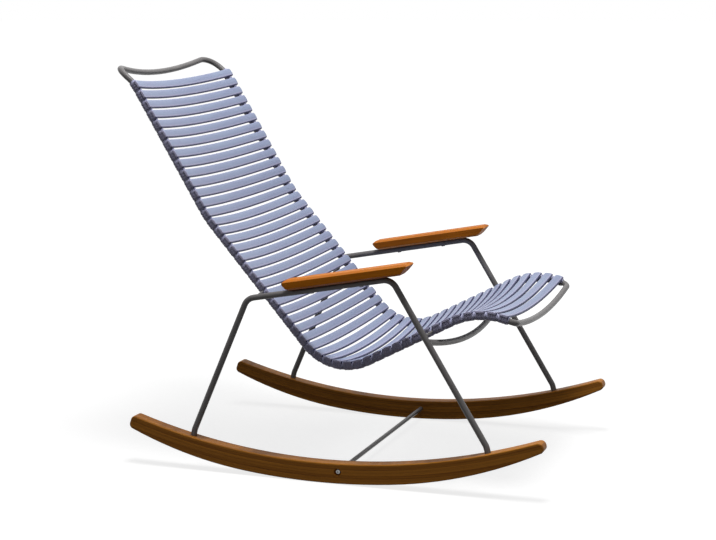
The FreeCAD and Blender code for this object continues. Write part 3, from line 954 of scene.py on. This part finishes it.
def convex_solid(normals: Array, offsets: Array, slack: float = 1e-7) -> Surface:
    """The solid bounded by planes n . p <= d.

    Every three planes meet in one point, which is kept if no other plane cuts it off. Each
    plane's face is its kept points, in order of their angle about the plane's normal.

    Args:
        normals: Unit outward normals, shape (n, 3).
        offsets: Distances from the origin, shape (n,).
        slack: Distance that counts as none, in metres.

    Returns:
        The surface, one face for each plane that counts.
    """
    count = len(offsets)
    triples = np.stack(np.meshgrid(*[np.arange(count)] * 3, indexing="ij"), axis=-1).reshape(-1, 3)
    triples = triples[(triples[:, 0] < triples[:, 1]) & (triples[:, 1] < triples[:, 2])]
    systems = normals[triples]
    solvable = np.abs(np.linalg.det(systems)) > 10 * slack
    corners = np.linalg.solve(systems[solvable], offsets[triples[solvable]][..., None])[..., 0]
    corners = corners[np.all(corners @ normals.T <= offsets + slack, axis=1)]
    points = np.unique(np.round(corners, 7), axis=0)
    faces = []
    for normal, offset in zip(normals, offsets):
        members = np.flatnonzero(np.abs(points @ normal - offset) < 5 * slack)
        if len(members) < 3:
            continue
        rays = points[members] - points[members].mean(axis=0)
        first = rays[0] / np.linalg.norm(rays[0])
        second = np.cross(normal, first)
        faces.append(members[np.argsort(np.arctan2(rays @ second, rays @ first))][None])
    return Surface(points, faces)


@dataclass
class Armrest:
    """A wooden armrest with faceted edges, undercut at both ends."""

    material: Material
    rear_bend: Pair = (-172.2 * MM, 408.4 * MM)
    arm_y: float = 318.5 * MM
    setback: float = 98.5 * MM
    length: float = 298.5 * MM
    width: float = 61.0 * MM
    thickness: float = 24.0 * MM
    undercut: float = 13.5 * MM
    tip_height: float = 18.0 * MM
    top_slope: float = 7.5 * MM
    top_chamfer: Pair = (12.0 * MM, 4.0 * MM)
    bottom_chamfer: Pair = (12.5 * MM, 5.0 * MM)
    corner_radius: float = 6.0 * MM
    corner_facets: int = 5
    edge_radius: float = 1.4 * MM
    edge_segments: int = 3
    edge_angle: float = 10.0

    def planes(self) -> tuple[Array, Array]:
        """Bounding planes in the armrest's own axes: along it, across it and up.

        Returns:
            Unit normals and distances.
        """
        half = self.width / 2
        points, normals = [], []

        def plane(point: Triple, normal: Triple) -> None:
            """Note a plane by a point on it and its outward direction."""
            points.append(point)
            normals.append(np.array(normal) / np.linalg.norm(normal))

        plane((0, 0, self.thickness), (0, 0, 1))
        plane((0, 0, 0), (0, 0, -1))
        rise = self.tip_height
        fall = self.thickness - self.tip_height
        plane((0, 0, rise), (-rise, 0, -self.undercut))
        plane((self.length, 0, rise), (rise, 0, -self.undercut - self.top_slope))
        plane((0, 0, rise), (-fall, 0, self.top_slope))
        plane((self.length, 0, rise), (fall, 0, self.top_slope))
        for side in (1, -1):
            plane((0, side * half, 0), (0, side, 0))
            plane((0, side * half, self.thickness - self.top_chamfer[1]),
                  (0, side * self.top_chamfer[1], self.top_chamfer[0]))
            plane((0, side * half, self.bottom_chamfer[1]),
                  (0, side * self.bottom_chamfer[1], -self.bottom_chamfer[0]))
            for end in (1, -1):
                middle_x = self.length - self.corner_radius if end > 0 else self.corner_radius
                centre = np.array([middle_x, side * (half - self.corner_radius), 0.0])
                for step in range(1, self.corner_facets):
                    cosine, sine = unit_heading(90.0 * step / self.corner_facets)
                    outward = np.array([end * cosine, side * sine, 0.0])
                    plane(tuple(centre + outward * self.corner_radius), tuple(outward))
        return np.array(normals), np.einsum("ij,ij->i", np.array(normals), np.array(points))

    def build(self, side: Side) -> None:
        """Make one armrest and tie it to its node.

        Args:
            side: Which side of the chair.
        """
        along, upward = unit_heading(ARM_RISE), unit_heading(ARM_RISE + 90.0)
        base = np.array(self.rear_bend) + along * self.setback + upward * TUBE_RADIUS
        base[0] += roll_point_x()
        matrix = side_matrix(along, base, side.value * self.arm_y)
        name = side.name.lower()
        piece = convex_solid(*self.planes()).placed(matrix).to_object(f"faceted_armrest_{name}")
        bevel = piece.modifiers.new("softened_edges", "BEVEL")
        bevel.width = self.edge_radius
        bevel.segments = self.edge_segments
        bevel.limit_method = "ANGLE"
        bevel.angle_limit = math.radians(self.edge_angle)
        bevel.harden_normals = True
        add_piece(piece, Slot.ARMREST, self.material, f"{name}_armrest")


@dataclass
class Woods:
    """The two woods, each with its grain along the board."""

    top_radius: float = 1501.0 * MM
    depth: float = 46.5 * MM

    def rocker(self) -> Material:
        """Wood whose strips follow the rocker's top arc.

        Along the grain it measures the angle about the arc's centre times the radius, and
        across the strips the distance from the arc.

        Returns:
            The material.
        """
        finish = StripWood("rocker_strips", dark=(0.215, 0.070, 0.007), light=(0.660, 0.262, 0.036),
                           glue=(0.055, 0.020, 0.003), strip=6.6 * MM)
        sheet = NodeSheet(finish.name)
        x, y, z = sheet.object_axes()
        forward = sheet.math("SUBTRACT", x, roll_point_x())
        below = sheet.math("SUBTRACT", self.top_radius + self.depth, z)
        along = sheet.math("MULTIPLY", sheet.math("ARCTAN2", forward, below), self.top_radius)
        depth = sheet.math("SUBTRACT", sheet.hypotenuse(forward, below), self.top_radius)
        return finish.dress(sheet, along, y, depth)

    def armrest(self) -> Material:
        """Wood whose strips lie along the arm.

        Returns:
            The material.
        """
        finish = StripWood("armrest_strips", dark=(0.340, 0.088, 0.003), light=(0.680, 0.215, 0.008),
                           glue=(0.160, 0.040, 0.002), strip=12.0 * MM, roughness=(0.43, 0.59))
        sheet = NodeSheet(finish.name)
        x, y, z = sheet.object_axes()
        cosine, sine = map(float, unit_heading(ARM_RISE))
        along = sheet.math("ADD", sheet.math("MULTIPLY", x, cosine), sheet.math("MULTIPLY", z, sine))
        upward = sheet.math("SUBTRACT", sheet.math("MULTIPLY", z, cosine), sheet.math("MULTIPLY", x, sine))
        return finish.dress(sheet, along, upward, y)


@dataclass(frozen=True)
class Softbox:
    """A square soft light: its place, its edge length in metres and its watts."""

    name: str
    place: Triple
    size: float
    power: float


@dataclass
class Studio:
    """Pale floor, soft lights and the camera at the photograph's angle."""

    background: float = 1.0
    ambient: float = 0.11
    floor_color: Triple = (0.30, 0.30, 0.30)
    floor_bounce: Triple = (0.05, 0.05, 0.05)
    glow: Pair = (0.80, 1.0)
    glow_reach: Pair = (0.9, 2.2)
    floor_radius: float = 40.0
    floor_points: int = 96
    softboxes: tuple[Softbox, ...] = (Softbox("overhead_softbox", (0.0, 0.3, 3.4), 2.0, 42.0),
                                      Softbox("key_softbox", (0.3, -0.7, 3.3), 0.9, 64.0))
    focal_length: float = 90.21
    sensor_width: float = 36.0
    azimuth: float = 19.5
    elevation: float = 9.18
    distance: float = 4.3095
    aim: Triple = (-0.0469, 0.0, 0.4454)
    shift: Pair = (0.0163, -0.0082)

    @staticmethod
    def seen_ray(sheet: NodeSheet) -> Socket:
        """One for rays from the camera, from gloss and through glass, else zero.

        Args:
            sheet: The node tree.

        Returns:
            The number.
        """
        path = sheet.add("ShaderNodeLightPath").outputs
        seen = sheet.math("MAXIMUM", path["Is Camera Ray"], path["Is Glossy Ray"])
        return sheet.math("MAXIMUM", seen, path["Is Transmission Ray"])

    def world(self) -> None:
        """White where it is seen, dimmer as a light."""
        sheet = NodeSheet("studio", world=True)
        strength = sheet.spread(self.seen_ray(sheet), 0.0, 1.0, self.ambient, self.background)
        back = sheet.add("ShaderNodeBackground", {"Color": (1.0, 1.0, 1.0), "Strength": strength})
        bpy.context.scene.world = sheet.end_in(back)

    def floor(self) -> None:
        """A round pale floor, white where it is seen but for the chair's shadow.

        Seen from the camera it glows a little less near the chair than farther out, and its
        own diffuse colour adds the rest where the light reaches it, so the shadow stays. It
        bounces less light at the chair than it seems to.
        """
        rim = self.floor_radius * spokes(np.linspace(0.0, 2 * math.pi, self.floor_points, endpoint=False))
        points = np.pad(rim, ((0, 0), (0, 1)))
        floor = Surface(points, [np.arange(self.floor_points)[None]]).to_object("studio_floor")
        sheet = NodeSheet("studio_floor")
        x, y, _ = sheet.object_axes()
        strength = sheet.spread(sheet.hypotenuse(x, y), *self.glow_reach, *self.glow)
        glow = sheet.add("ShaderNodeEmission", {"Strength": strength})
        seen, bounce = (sheet.add("ShaderNodeBsdfDiffuse", {"Color": color}).outputs[0]
                        for color in (self.floor_color, self.floor_bounce))
        lit = sheet.add("ShaderNodeAddShader", {0: glow.outputs[0], 1: seen}).outputs[0]
        put_on(floor, sheet.end_in(sheet.add("ShaderNodeMixShader",
                                             {0: self.seen_ray(sheet), 1: bounce, 2: lit})))

    def lamp(self, softbox: Softbox) -> None:
        """Add a soft light and turn it to the chair.

        Args:
            softbox: The light.
        """
        data = bpy.data.lights.new(softbox.name, "AREA")
        data.size = softbox.size
        data.energy = softbox.power
        lamp = add_object(softbox.name, data)
        lamp.location = softbox.place
        to_chair = np.array(self.aim) - np.array(softbox.place)
        lamp.rotation_euler = (math.acos(-to_chair[2] / np.linalg.norm(to_chair)), 0.0,
                               math.atan2(-to_chair[0], to_chair[1]))

    def camera(self) -> None:
        """The camera, aimed at the chair along the photograph's direction."""
        azimuth, elevation = math.radians(self.azimuth), math.radians(self.elevation)
        level = math.cos(elevation)
        back = np.array([math.sin(azimuth) * level, -math.cos(azimuth) * level, math.sin(elevation)])
        aim = np.array(self.aim)
        aim[0] += roll_point_x()
        data = bpy.data.cameras.new("photo_camera")
        data.lens = self.focal_length
        data.sensor_width = self.sensor_width
        data.shift_x, data.shift_y = self.shift
        camera = add_object("photo_camera", data)
        camera.location = aim + back * self.distance
        camera.rotation_euler = (math.pi / 2 - elevation, 0.0, azimuth)
        bpy.context.scene.camera = camera

    def build(self) -> None:
        """Set up everything round the chair."""
        bpy.context.scene.view_settings.view_transform = "Standard"
        self.world()
        self.floor()
        for softbox in self.softboxes:
            self.lamp(softbox)
        self.camera()


def dress_nodes(material: Material, names: tuple[str, ...]) -> None:
    """Give CAD nodes a material.

    Args:
        material: The material.
        names: The nodes' names.
    """
    for name in names:
        put_on(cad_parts[name], material)
        LOG.info("%s dressed in %s", name, material.name)


def main() -> None:
    """Build the chair's looks in order."""
    logging.basicConfig(level=logging.INFO, format="%(name)s: %(message)s")
    Studio().build()
    coat = PowderCoat().material()
    zinc = FastenerSteel("zinc_steel", (0.30, 0.30, 0.30), (0.20, 0.20, 0.20)).material()
    blackened = FastenerSteel("blackened_steel", (0.10, 0.10, 0.105), (0.06, 0.06, 0.065),
                              (0.34, 0.54)).material()
    woods = Woods()
    dress_nodes(coat, ("seat_frame", "left_arm_frame", "right_arm_frame", "front_brace",
                       "seat_mounting_pins", "rocker_spreader"))
    dress_nodes(woods.rocker(), ("left_rocker", "right_rocker"))
    dress_nodes(zinc, ("spreader_bolts",))
    dress_nodes(blackened, ("armrest_screws",))
    Slats(MouldedPlastic().material()).build(RailLine())
    armrest_wood = woods.armrest()
    for side in Side:
        Armrest(armrest_wood).build(side)


if __name__ == "__main__":
    main()
